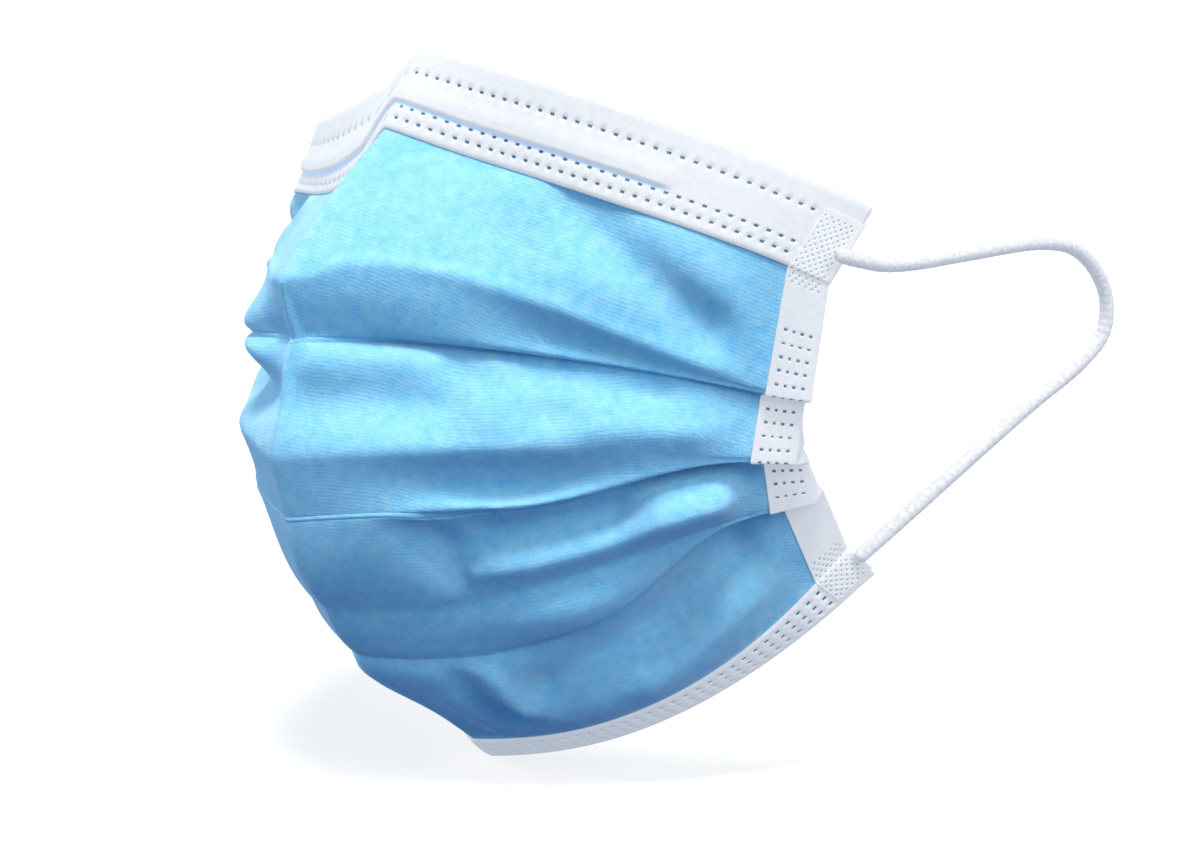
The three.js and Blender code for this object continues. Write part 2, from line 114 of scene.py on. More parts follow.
PLEATS = (
    # line, next line, lean, share where it is a step, share where it is shut
    ("pleat 1", "pleat 2", 20, 0.22, 0.9),
    ("pleat 2", "pleat 3", -10, 0.4, 0.92),
    ("pleat 3", "chin band", -10, 0.45, 0.85),
)
SHUT_SHARE = 0.92
OPENING_REACH = 0.22
OPEN_SLOPE = 80
OPEN_STEP_SHARE = 0.28
LEAST_RETURN = 0.25
CLEAR_OF_VALLEY = 0.3
# No point comes nearer the ridge than this share of its column's distance along pleat 2.
LEAST_ACROSS = 0.45
PANEL_SWELL = ((0.012, 0.025), (0.019, 0.019), (0.025, 0.025), (0.0625, 0.0625))
SWELL_START = 0.5
SWELL_END = 0.6
SWELL_FADE = 0.3
DENTS = (
    # panel, across, down, reach across, reach down, depth
    (0, 0.42, 0.4, 0.16, 0.5, 0.035),
    (2, 0.38, 0.4, 0.17, 0.6, 0.03),
    (3, 0.6, 0.4, 0.16, 0.5, 0.055),
)

# Soft folds that the solid leaves out: a panel, the ends of the fold as shares across the
# half length and down the panel, its half width and its height in millimetres.
SOFT_FOLDS = (
    (0, 0.44, 0.02, 0.78, 0.66, 5.0, -2.8),
    (0, 0.10, 0.965, 0.86, 0.955, 1.7, 2.2),
    (0, 0.36, 0.15, 0.52, 0.80, 6.0, 0.9),
    (0, 0.62, 0.15, 0.88, 0.52, 5.0, 1.2),
    (1, 0.06, 0.50, 0.32, 0.56, 6.0, -3.0),
    (1, 0.10, 0.12, 0.40, 0.16, 4.5, 2.0),
    (1, 0.34, 0.16, 0.72, 0.22, 3.2, -1.8),
    (1, 0.32, 0.10, 0.54, 0.75, 4.0, -1.6),
    (1, 0.52, 0.90, 0.90, 0.66, 3.2, 1.8),
    (1, 0.38, 0.55, 0.46, 0.50, 4.0, 0.9),
    (2, 0.33, 0.62, 0.80, 0.60, 3.2, 2.9),
    (2, 0.26, 0.10, 0.30, 0.50, 5.0, -3.0),
    (2, 0.38, 0.16, 0.60, 0.22, 4.4, -3.4),
    (2, 0.72, 0.26, 0.92, 0.60, 6.0, 3.4),
    (3, 0.32, 0.40, 0.80, 0.20, 6.0, -4.8),
    (3, 0.50, 0.74, 0.86, 0.52, 5.0, 1.5),
    (3, 0.17, 0.02, 0.20, 0.60, 3.4, -1.8),
    (3, 0.10, 0.35, 0.12, 0.80, 3.5, 1.2),
    (3, 0.24, 0.06, 0.24, 0.50, 2.6, 1.8),
)

# The shares of the half length between which the soft folds and the strips' hollows fade out.
SOFT_FADE = (0.78, 0.893)
HOLLOW_FADE = (0.74, 0.885)

# How far the opened strips of the pleats are drawn in: a pleat, the middle and the reach of
# the hollow as shares of the half length, and its depth in millimetres.
STRIP_HOLLOWS = (
    (0, 0.62, 0.20, 2.8),
    (0, 0.18, 0.20, -1.0),
    (1, 0.44, 0.18, 5.0),
    (2, 0.46, 0.16, -2.6),
)

# The far half sits a little lower and further out at its top, as the photo shows: a middle
# (across, up), its reach both ways, and how far the cloth moves out and up, in millimetres.
FAR_DRAPE = (
    (-21.0, -10.0, 34.0, 20.0, 3.4, -9.0),
    (-10.0, -46.5, 7.5, 6.5, 7.0, 0.0),
    (-22.0, -34.0, 9.0, 6.0, -1.6, 0.0),
    (-42.0, -30.0, 12.0, 7.0, 1.4, 0.0),
    (-20.0, -67.0, 10.0, 8.0, 1.2, 0.0),
    (-14.0, -98.0, 11.0, 10.0, 1.2, 0.0),
    (-20.0, -112.0, 17.0, 10.0, -2.4, 1.5),
)
FAR_OUTWARD = np.array([-0.67, -0.74, 0.0])
FAR_START = 7.0

# How far the front of the chin stands forward of the solid: a height, its reach across and
# up, and the distance in millimetres.
CHIN_DRAPE = (
    (-99.0, 15.0, 9.0, 3.2),
    (-115.0, 16.0, 7.0, -3.6),
)

# The photograph's frame, and the camera that sees the mask as it does.
PHOTO_WIDTH = 1200
PHOTO_HEIGHT = 841
LENS = 110.0
SENSOR = 36.0
VIEW_TURN = 48.0
VIEW_RISE = 9.0
PIXELS_PER_MM = 5.85
NOSE_PIXEL = (425.0, 50.0)
FLOOR_GAP = 0.0012
FLOOR_REACH = 30.0

CORD_ROUTE = (
    (66.7, 34.0, -32.3),
    (67.3, 37.2, -33.2),
    (67.7, 43.0, -34.4),
    (68.2, 50.0, -34.6),
    (69.2, 62.0, -33.9),
    (71.0, 79.0, -33.1),
    (71.5, 86.6, -34.6),
    (71.8, 92.0, -38.6),
    (71.8, 95.2, -44.2),
    (71.4, 95.0, -50.2),
    (70.2, 90.8, -55.0),
    (66.9, 80.9, -62.2),
    (61.4, 66.0, -74.2),
    (57.6, 56.8, -82.0),
    (55.3, 51.65, -86.4),
)


# Small vector helpers over arrays of points.

def unit(vectors):
    return vectors / np.maximum(np.linalg.norm(vectors, axis=-1, keepdims=True), 1e-12)


def rise(value, start, end):
    share = np.clip((value - start) / (end - start), 0.0, 1.0)
    return share * share * (3.0 - 2.0 * share)


def outward_normal(across, down):
    normal = unit(np.cross(across, down))
    return normal * np.where(normal[..., 1:2] > 0, -1.0, 1.0)


def scaled(vectors, amounts):
    return vectors * np.asarray(amounts)[..., None]


# The same lines, pleats and panels as the solid model, over a whole row of columns.

class Line:
    def __init__(self, name):
        forward, drop, out, back, fall = LINE_PLACES[name]
        ridge_turn, side_turn, ridge_slope, side_slope, push, lift = LINE_BENDS[name]
        self.push, self.lift = push * NOSE_PINCH, lift * NOSE_PINCH
        start = np.array([0.0, self.push - forward * WORN_DEPTH, -drop * WORN_HEIGHT - self.lift])
        end = np.array([out * WORN_WIDTH / 2, back * WORN_DEPTH, -fall * WORN_HEIGHT])
        span = math.hypot(end[0] - start[0], end[1] - start[1])
        first = start + RIDGE_HANDLE * span * self.heading(ridge_turn, ridge_slope)
        second = end - SIDE_HANDLE * span * self.heading(side_turn, side_slope)
        share = np.linspace(0.0, 1.0, 400)[:, None]
        rest = 1.0 - share
        self.points = (rest**3 * start + 3 * rest**2 * share * first
                       + 3 * rest * share**2 * second + share**3 * end)
        steps = np.linalg.norm(np.diff(self.points, axis=0), axis=1)
        self.travel = np.concatenate([[0.0], np.cumsum(steps)])
        self.length = self.travel[-1]

    @staticmethod
    def heading(turn, slope):
        angle = math.radians(turn)
        return np.array([math.cos(angle), math.sin(angle), -slope])

    def at(self, distance):
        distance = np.asarray(distance, float)
        reach = np.abs(distance)
        point = np.stack([np.interp(reach, self.travel, self.points[:, axis]) for axis in range(3)], -1)
        pinch = np.exp(-((distance / NOSE_PINCH_WIDTH) ** 2))
        point[..., 1] -= self.push * pinch
        point[..., 2] += self.lift * pinch
        point[..., 0] *= np.where(distance < 0, -1.0, 1.0)
        return point

    def along(self, distance):
        return unit(self.at(distance + 0.4) - self.at(distance - 0.4))


LINES = {name: Line(name) for name in LINE_PLACES}


def column_distance(line, columns):
    inner = line.length - BINDING_WIDTH
    reach = np.abs(columns)
    distance = np.where(reach <= 1, reach * inner, inner + (reach - 1) * BINDING_WIDTH)
    return distance * np.where(columns < 0, -1.0, 1.0)


def panel_shape(panel, share, down, length):
    """Outward swell in millimetres at shares across and down one panel."""
    ridge, cheek = PANEL_SWELL[panel]
    fade = 1 - rise(share, SWELL_END, SWELL_END + SWELL_FADE)
    bulge = np.sin(np.pi * down)
    if panel == 3:
        chin = 1 - rise(share, 0.05, 0.4)
        bulge = bulge + chin * (0.72 * np.sin(np.pi * np.sqrt(down)) - bulge)
    swell = (ridge + (cheek - ridge) * rise(share, 0, SWELL_START)) * fade * bulge
    for where, across, middle, reach_across, reach_down, depth in DENTS:
        if where == panel:
            far = ((share - across) / reach_across) ** 2 + ((down - middle) / reach_down) ** 2
            swell = swell - depth * np.exp(-far) * np.sin(np.pi * down) * fade
    swell = swell * WORN_DEPTH
    edge = np.sin(np.pi * np.clip(down, 0, 1)) ** 0.5
    for where, a0, d0, a1, d1, width, height in SOFT_FOLDS:
        if where != panel:
            continue
        half = LINES["pleat 2"].length
        start = np.array([a0 * half, d0])
        end = np.array([a1 * half, d1])
        x, y = share * half - start[0], (down - start[1]) * length
        dx, dy = end[0] - start[0], (end[1] - start[1]) * length
        along = np.clip((x * dx + y * dy) / (dx * dx + dy * dy), 0, 1)
        off = np.sqrt((x - along * dx) ** 2 + (y - along * dy) ** 2)
        swell = swell + height * np.exp(-((off / width) ** 2)) * edge * (1 - rise(share, *SOFT_FADE))
    return swell


def strip_hollow(pleat, share):
    """How far in the middle of one pleat's opened strip lies, in millimetres."""
    depth = np.zeros_like(share)
    for where, middle, reach, most in STRIP_HOLLOWS:
        if where == pleat:
            depth = depth + most * np.exp(-(((share - middle) / reach) ** 2))
    return depth * (1 - rise(share, *HOLLOW_FADE))


def cloth(columns, panel_rows=(34, 22, 22, 40), strip_rows=12, return_rows=6):
    """The middle surface of the cloth: its rows, its panels and its band directions."""
    distances = {name: column_distance(line, columns) for name, line in LINES.items()}
    points = {name: line.at(distances[name]) for name, line in LINES.items()}
    across = {name: line.along(distances[name]) for name, line in LINES.items()}
    top_down = unit(points["nose band"] - points["top"])
    chin_up = unit(points["chin band"] - points["bottom"])
    points["nose band"] = points["top"] + top_down * NOSE_BAND_WIDTH
    points["chin band"] = points["bottom"] + chin_up * CHIN_BAND_WIDTH
    share = np.abs(distances["pleat 2"]) / LINES["pleat 2"].length
    side = np.where(columns < 0, -1.0, 1.0)
    least_across = LEAST_ACROSS * np.abs(distances["pleat 2"])
    rows, panels = [], []

    def add(point):
        point = point.copy()
        point[..., 0] = side * np.maximum(side * point[..., 0], least_across)
        rows.append(point)

    def span(start, end, count):
        for step in range(1, count + 1):
            add(start + (end - start) * step / (count + 1))

    def add_panel(index, start, end, line):
        outward = outward_normal(across[line], unit(end - start))
        length = np.linalg.norm(end - start, axis=-1)
        for step in range(1, panel_rows[index] + 1):
            down = step / (panel_rows[index] + 1)
            swell = panel_shape(index, share, np.full_like(share, down), length)
            add(start + (end - start) * down + scaled(outward, swell))

    add(points["top"] + top_down * LAYER_SPACING)
    span(rows[0], points["nose band"], 8)
    add(points["nose band"])
    start = panel_start = points["nose band"]
    level = np.full(len(columns), NOSE_BAND_WIDTH)
    for index, (line, following, lean, step_share, shut_share) in enumerate(PLEATS):
        crease = points[line]
        down = unit(crease - start)
        outward = outward_normal(across[line], down)
        chord = unit(points[following] - crease)
        chord_in = -outward_normal(across[line], chord)
        angle = math.radians(lean)
        strip_down = unit(chord * math.cos(angle) + chord_in * math.sin(angle))
        closed = SHUT_SHARE * rise(share, step_share, shut_share)
        opened = rise(step_share - share, 0, OPENING_REACH)
        edge = crease + scaled(strip_down, PLEAT_FOLD * (1 - closed))
        slope = np.radians(OPEN_SLOPE * opened)
        back = unit(scaled(-outward, np.cos(slope)) + scaled(down, np.sin(slope)))
        spacing = LAYER_SPACING * (1 - (1 - OPEN_STEP_SHARE) * opened)
        up = unit(scaled(down, opened - 1) + scaled(back, opened))
        height = PLEAT_FOLD * closed + LEAST_RETURN
        tucked = edge + scaled(back, spacing)
        valley = tucked + scaled(up, height)
        valley_back = valley + scaled(back, spacing)
        down_below = unit(points[following] - valley_back)
        clear = valley_back + scaled(down_below, height + CLEAR_OF_VALLEY)
        add_panel(index, start, crease, line)
        add(crease)
        for step in range(1, strip_rows + 1):
            part = step / (strip_rows + 1)
            hollow = (1 - closed) * math.sin(math.pi * part) * strip_hollow(index, share)
            add(crease + (edge - crease) * part - scaled(outward, hollow))
        add(edge)
        add(edge + (tucked - edge) * 0.5)
        add(tucked)
        span(tucked, valley, return_rows)
        add(valley)
        add(valley + (valley_back - valley) * 0.5)
        add(valley_back)
        span(valley_back, clear, return_rows)
        add(clear)
        reach = np.linalg.norm(crease - panel_start, axis=-1) + np.linalg.norm(edge - crease, axis=-1)
        panels.append((panel_start, down, outward, level, level + reach))
        level = level + reach - height
        panel_start, start = valley_back, clear
    add_panel(3, start, points["chin band"], "chin band")
    down = unit(points["chin band"] - panel_start)
    outward = outward_normal(across["chin band"], down)
    end = level + np.linalg.norm(points["chin band"] - panel_start, axis=-1)
    panels.append((panel_start, down, outward, level, end))
    add(points["chin band"])
    span(points["chin band"], points["bottom"] + chin_up * LAYER_SPACING, 3)
    add(points["bottom"] + chin_up * LAYER_SPACING)
    bands = {
        "top": (points["top"], top_down, outward_normal(across["nose band"], top_down)),
        "bottom": (points["bottom"], chin_up, outward_normal(across["chin band"], -chin_up)),
    }
    return np.array(rows), panels, bands


# As few rows as cloth() takes, where only its panels and bands are wanted.
PLAIN_ROWS = ((1, 1, 1, 1), 1, 1)


def draped(points):
    """The points moved as CHIN_DRAPE gives, and on the far half as FAR_DRAPE gives."""
    points = np.array(points, float)
    gate = rise(-points[..., 0], 0.0, FAR_START)
    moved = points.copy()
    for height, reach_across, reach_up, forward in CHIN_DRAPE:
        far = (points[..., 0] / reach_across) ** 2 + ((points[..., 2] - height) / reach_up) ** 2
        moved[..., 1] -= forward * np.exp(-far)
    for across, height, reach_across, reach_up, out, up in FAR_DRAPE:
        far_across = (points[..., 0] - across) / reach_across
        far_up = (points[..., 2] - height) / reach_up
        weight = np.exp(-(far_across**2 + far_up**2)) * gate
        moved += FAR_OUTWARD * (weight * out)[..., None]
        moved[..., 2] += weight * up
    return moved


# Meshes from grids of points.

def grid_normals(grid):
    down = np.gradient(grid, axis=0)
    across = np.gradient(grid, axis=1)
    return unit(np.cross(across, down))


def wall_mesh(name, grid, wall, materials, facing=1, front_slots=None, relief=0.0,
              back_slot=0, uv=None):
    """A closed wall round a grid of middle points, with relief pressed into its front face."""
    rows, columns = grid.shape[:2]
    normals = grid_normals(grid) * facing
    half_wall = np.broadcast_to(wall, (rows, columns)) / 2
    front = grid + scaled(normals, half_wall - relief)
    back = grid - scaled(normals, half_wall)
    vertices = draped(np.concatenate([front.reshape(-1, 3), back.reshape(-1, 3)])) * MM
    index = np.arange(rows * columns).reshape(rows, columns)
    a, b = index[:-1, :-1], index[1:, :-1]
    c, d = index[1:, 1:], index[:-1, 1:]
    quads = np.stack([a, b, c, d], -1).reshape(-1, 4)
    shift = rows * columns
    other = quads[:, ::-1] + shift
    rims = []
    for edge, turn in ((index[0], 1), (index[-1], -1), (index[:, 0], -1), (index[:, -1], 1)):
        first, second = edge[:-1], edge[1:]
        rim = np.stack([first, second, second + shift, first + shift], -1)
        rims.append(rim[:, ::turn])
    rims = np.concatenate(rims)
    slots = np.zeros(len(quads), int) if front_slots is None else front_slots.reshape(-1)
    faces = np.concatenate([quads, other, rims])
    mesh = bpy.data.meshes.new(name)
    mesh.from_pydata(vertices.tolist(), [], faces.tolist())
    for material in materials:
        mesh.materials.append(material)
    all_slots = np.concatenate([slots, np.full(len(other), back_slot), np.full(len(rims), 0)])
    mesh.polygons.foreach_set("material_index", all_slots.astype(np.int32))
    mesh.polygons.foreach_set("use_smooth", np.ones(len(faces), bool))
    if uv is not None:
        layer = mesh.uv_layers.new(name="cloth")
        flat = np.concatenate([uv.reshape(-1, 2), uv.reshape(-1, 2)])
        loops = np.empty(len(mesh.loops), np.int32)
        mesh.loops.foreach_get("vertex_index", loops)
        layer.data.foreach_set("uv", flat[loops].astype(np.float32).ravel())
    face_out(mesh)
    piece = bpy.data.objects.new(name, mesh)
    bpy.context.scene.collection.objects.link(piece)
    return piece


def face_out(mesh):
    """Turn every face if the closed mesh encloses a negative volume."""
    work = bmesh.new()
    work.from_mesh(mesh)
    if work.calc_volume(signed=True) < 0:
        bmesh.ops.reverse_faces(work, faces=work.faces)
    work.to_mesh(mesh)
    work.free()


def cloth_uv(grid):
    """Millimetres of cloth across and down, times CLOTH_SCALE."""
    down = np.concatenate([np.zeros((1, grid.shape[1])), np.cumsum(
        np.linalg.norm(np.diff(grid, axis=0), axis=-1), axis=0)])
    across = np.concatenate([np.zeros((grid.shape[0], 1)), np.cumsum(
        np.linalg.norm(np.diff(grid, axis=1), axis=-1), axis=1)], axis=1)
    across -= across[:, across.shape[1] // 2][:, None]
    return np.stack([across, -down], -1) * CLOTH_SCALE


def rounded(grid, passes):
    """The grid with its folds rounded by averaging along each column."""
    grid = grid.copy()
    for _ in range(passes):
        grid[1:-1] = 0.25 * grid[:-2] + 0.5 * grid[1:-1] + 0.25 * grid[2:]
    return grid


# Materials. Uniform values sit on the shader's own sockets.

class Nodes:
    def __init__(self, name):
        self.material = bpy.data.materials.new(name)
        self.material.use_nodes = True
        self.tree = self.material.node_tree
        self.tree.nodes.clear()

    def add(self, kind, inputs=None, **settings):
        node = self.tree.nodes.new(kind)
        for key, value in settings.items():
            setattr(node, key, value)
        for key, value in (inputs or {}).items():
            if isinstance(value, bpy.types.NodeSocket):
                self.tree.links.new(value, node.inputs[key])
            else:
                node.inputs[key].default_value = value
        return node


def set_stops(node, stops):
    elements = node.color_ramp.elements
    while len(elements) < len(stops):
        elements.new(0.5)
    for element, (position, colour) in zip(elements, stops):
        element.position = position
        element.color = (*colour, 1.0)


def ramp(nodes, factor, stops):
    node = nodes.add("ShaderNodeValToRGB", {"Fac": factor})
    set_stops(node, stops)
    return node.outputs["Color"]


def soft_step(nodes, value, start, end):
    node = nodes.add("ShaderNodeMapRange", {"Value": value, "From Min": start, "From Max": end},
                     interpolation_type="SMOOTHSTEP")
    return node.outputs["Result"]


def multiplied(nodes, first, second):
    return nodes.add("ShaderNodeMath", {0: first, 1: second}, operation="MULTIPLY").outputs[0]


def painted_wire_shadow(nodes, uv, colour):
    """A painted blue shadow under the wire's lower edge, where the thin band is also pulled down over the
    blue layers and lets them show through.
    """
    parts = nodes.add("ShaderNodeSeparateXYZ", {"Vector": uv})
    reach = nodes.add("ShaderNodeMath", {0: parts.outputs["X"]}, operation="ABSOLUTE").outputs[0]
    edge = (WIRE_DROP + WIRE_WIDTH) * CLOTH_SCALE
    start = soft_step(nodes, parts.outputs["Y"], edge - 0.001, edge + 0.003)
    end = soft_step(nodes, parts.outputs["Y"], edge + 0.013, edge + 0.004)
    half_wire = WIRE_LENGTH / 2 * CLOTH_SCALE
    sides = soft_step(nodes, reach, half_wire + 0.004, half_wire - 0.004)
    mask = multiplied(nodes, multiplied(nodes, start, end), sides)
    mix = nodes.add("ShaderNodeMix", data_type="RGBA")
    nodes.tree.links.new(mask, mix.inputs["Factor"])
    nodes.tree.links.new(colour, mix.inputs[6])
    # The colour of the painted shadow under the wire.
    mix.inputs[7].default_value = (0.20, 0.46, 0.78, 1.0)
    return mix.outputs[2]


def nonwoven(name, light, deep, dash_strength, fibre_strength, painted_glow=0.0, painted_wire_shade=False, sheen=0.12):
    """Spun nonwoven cloth: fine tangled fibres, soft mottling and rows of pressed dashes."""
    nodes = Nodes(name)
    place = nodes.add("ShaderNodeTexCoord")
    uv = place.outputs["UV"]
    body = place.outputs["Object"]
    mottle = nodes.add("ShaderNodeTexNoise", {
        "Vector": body, "Scale": 420.0, "Detail": 6.0, "Roughness": 0.65})
    cloud = nodes.add("ShaderNodeTexNoise", {
        "Vector": body, "Scale": 55.0, "Detail": 3.0, "Roughness": 0.5})
    stretch = nodes.add("ShaderNodeMapping", {"Vector": uv, "Scale": (1.0, 3.2, 1.0)})
    fibres = nodes.add("ShaderNodeTexNoise", {
        "Vector": stretch.outputs["Vector"], "Scale": 190.0, "Detail": 8.0,
        "Roughness": 0.75, "Distortion": 1.2})
    dashes = nodes.add("ShaderNodeTexBrick", {
        "Vector": uv, "Color1": (1, 1, 1, 1), "Color2": (1, 1, 1, 1), "Mortar": (0, 0, 0, 1),
        "Scale": 62.0, "Mortar Size": 0.055, "Mortar Smooth": 0.6, "Bias": 0.0,
        "Brick Width": 1.0, "Row Height": 0.42}, offset=0.5)
    spread = nodes.add("ShaderNodeMath", {0: mottle.outputs["Fac"], 1: 0.55}, operation="MULTIPLY")
    spread = nodes.add("ShaderNodeMath", {0: fibres.outputs["Fac"], 1: 0.3, 2: spread.outputs[0]},
                       operation="MULTIPLY_ADD")
    spread = nodes.add("ShaderNodeMath", {0: cloud.outputs["Fac"], 1: 0.15, 2: spread.outputs[0]},
                       operation="MULTIPLY_ADD")
    colour = ramp(nodes, spread.outputs[0], ((0.34, deep), (0.62, light)))
    # Painted shadow along the wire's lower edge, on the nose band only.
    if painted_wire_shade:
        colour = painted_wire_shadow(nodes, uv, colour)
    height = nodes.add("ShaderNodeMath", {0: fibres.outputs["Fac"], 1: 0.6, 2: mottle.outputs["Fac"]},
                       operation="MULTIPLY_ADD")
    grain = nodes.add("ShaderNodeBump", {"Strength": fibre_strength, "Distance": 0.0004,
                                         "Height": height.outputs[0]})
    pressed = nodes.add("ShaderNodeBump", {
        "Strength": dash_strength, "Distance": 0.0003,
        "Height": dashes.outputs["Color"], "Normal": grain.outputs["Normal"]})
    shader = nodes.add("ShaderNodeBsdfPrincipled", {
        "Base Color": colour, "Normal": pressed.outputs["Normal"], "Roughness": 0.88})
    shader.inputs["Specular IOR Level"].default_value = 0.25
    shader.inputs["Sheen Weight"].default_value = sheen
    shader.inputs["Sheen Roughness"].default_value = 0.5
    # Painted glow: emission standing in for light that comes through the thin cloth.
    shader.inputs["Emission Color"].default_value = (0.93, 0.95, 1.0, 1.0)
    shader.inputs["Emission Strength"].default_value = painted_glow
    nodes.add("ShaderNodeOutputMaterial", {"Surface": shader.outputs["BSDF"]})
    return nodes.material


def plain_white(name, light, deep, scale, roughness, strength, painted_glow=0.0):
    nodes = Nodes(name)
    place = nodes.add("ShaderNodeTexCoord")
    noise = nodes.add("ShaderNodeTexNoise", {
        "Vector": place.outputs["Object"], "Scale": scale, "Detail": 6.0, "Roughness": 0.6})
    colour = ramp(nodes, noise.outputs["Fac"], ((0.35, deep), (0.65, light)))
    bump = nodes.add("ShaderNodeBump", {
        "Strength": strength, "Distance": 0.0003, "Height": noise.outputs["Fac"]})
    shader = nodes.add("ShaderNodeBsdfPrincipled", {
        "Base Color": colour, "Normal": bump.outputs["Normal"], "Roughness": roughness})
    shader.inputs["Specular IOR Level"].default_value = 0.3
    # Painted glow: emission standing in for light that comes through the thin cloth.
    shader.inputs["Emission Color"].default_value = (0.96, 0.96, 1.0, 1.0)
    shader.inputs["Emission Strength"].default_value = painted_glow
    nodes.add("ShaderNodeOutputMaterial", {"Surface": shader.outputs["BSDF"]})
    return nodes.material


# The white strips, the lining and the cords glow a little: a painted glow, emission standing in for the light
# that comes through the thin cloth from behind.
blue_cloth = nonwoven("blue_nonwoven", (0.34, 0.70, 0.89), (0.14, 0.53, 0.86), 0.5, 0.7, sheen=0.45)
lining = nonwoven("white_lining", (0.62, 0.64, 0.66), (0.54, 0.57, 0.60), 0.15, 0.35, 0.30)
white_cloth = nonwoven("white_band_cloth", (0.44, 0.43, 0.43), (0.37, 0.37, 0.38), 0.0, 0.5, 0.42)
# The nose band's cloth carries the painted shadow below the wire.
band_cloth_with_painted_shadow = nonwoven("nose_band_cloth", (0.44, 0.43, 0.43), (0.37, 0.37, 0.38), 0.0, 0.5, 0.38, True)
# The weld dots' floors are dark teal: partly the blue layers showing through the pressed welds, partly
# painted shade in their recesses.
weld_floor_painted_shade = plain_white("weld_floor_painted_shade", (0.11, 0.24, 0.31), (0.05, 0.13, 0.18), 900.0, 0.5, 0.2)
# The lattice floors on the bindings are dark teal: partly the blue layers showing through the pressed welds,
# partly painted shade in their recesses.
patch_floor_painted_shade = plain_white("patch_floor_painted_shade", (0.16, 0.30, 0.36), (0.08, 0.18, 0.23), 900.0, 0.5, 0.2)
wire_plastic = plain_white("wire_plastic", (0.85, 0.85, 0.86), (0.78, 0.78, 0.8), 300.0, 0.4, 0.1)
cord_knit = plain_white("cord_knit", (0.52, 0.50, 0.50), (0.34, 0.33, 0.34), 1400.0, 0.95, 0.6, 0.34)


# The camera comes first, then the cords.

def make_camera():
    turn, lift = math.radians(VIEW_TURN), math.radians(VIEW_RISE)
    right = Vector((math.cos(turn), math.sin(turn), 0))
    back = Vector((math.sin(turn) * math.cos(lift), -math.cos(turn) * math.cos(lift), math.sin(lift)))
    up = back.cross(right)
    shift_x = (PHOTO_WIDTH / 2 - NOSE_PIXEL[0]) / PIXELS_PER_MM
    shift_y = (NOSE_PIXEL[1] - PHOTO_HEIGHT / 2) / PIXELS_PER_MM
    distance = LENS / SENSOR * PHOTO_WIDTH / PIXELS_PER_MM
    place = (right * shift_x + up * shift_y + back * distance) * MM
    camera = bpy.data.objects.new("camera", bpy.data.cameras.new("camera"))
    camera.data.lens = LENS
    camera.data.sensor_width = SENSOR
    camera.data.sensor_fit = "HORIZONTAL"
    camera.data.clip_end = 50.0
    rotation = Matrix((right, up, back)).transposed()
    camera.matrix_world = Matrix.Translation(place) @ rotation.to_4x4()
    bpy.context.scene.collection.objects.link(camera)
    bpy.context.scene.camera = camera


make_camera()


# Millimetres between the cord's rings, the sides of a ring and the ribs of its knitting, and
# how far, and over what length, the cord is drawn in towards its upper seat.
CORD_STEP = 0.33
CORD_SIDES = 24
KNIT_RIBS = 6
KNIT_TWIST = 2.2
SEAT_SHIFT = 0.45
SEAT_REACH = 8.0


def smooth_route(points, step):
    """A centripetal spline through the points, sampled about every step millimetres."""
    points = np.array(points, float)
    ends = np.vstack([2 * points[0] - points[1], points, 2 * points[-1] - points[-2]])
    curve = []
    for i in range(1, len(ends) - 2):
        p0, p1, p2, p3 = ends[i - 1:i + 3]
        gaps = [max(np.linalg.norm(b - a) ** 0.5, 1e-4) for a, b in ((p0, p1), (p1, p2), (p2, p3))]
        first = (p1 - p0) / gaps[0] - (p2 - p0) / (gaps[0] + gaps[1]) + (p2 - p1) / gaps[1]
        second = (p2 - p1) / gaps[1] - (p3 - p1) / (gaps[1] + gaps[2]) + (p3 - p2) / gaps[2]
        first, second = first * gaps[1], second * gaps[1]
        count = max(2, int(np.linalg.norm(p2 - p1) / step))
        for s in np.arange(count) / count:
            curve.append((2 * s**3 - 3 * s**2 + 1) * p1 + (s**3 - 2 * s**2 + s) * first
                         + (-2 * s**3 + 3 * s**2) * p2 + (s**3 - s**2) * second)
    curve.append(points[-1])
    return np.array(curve)


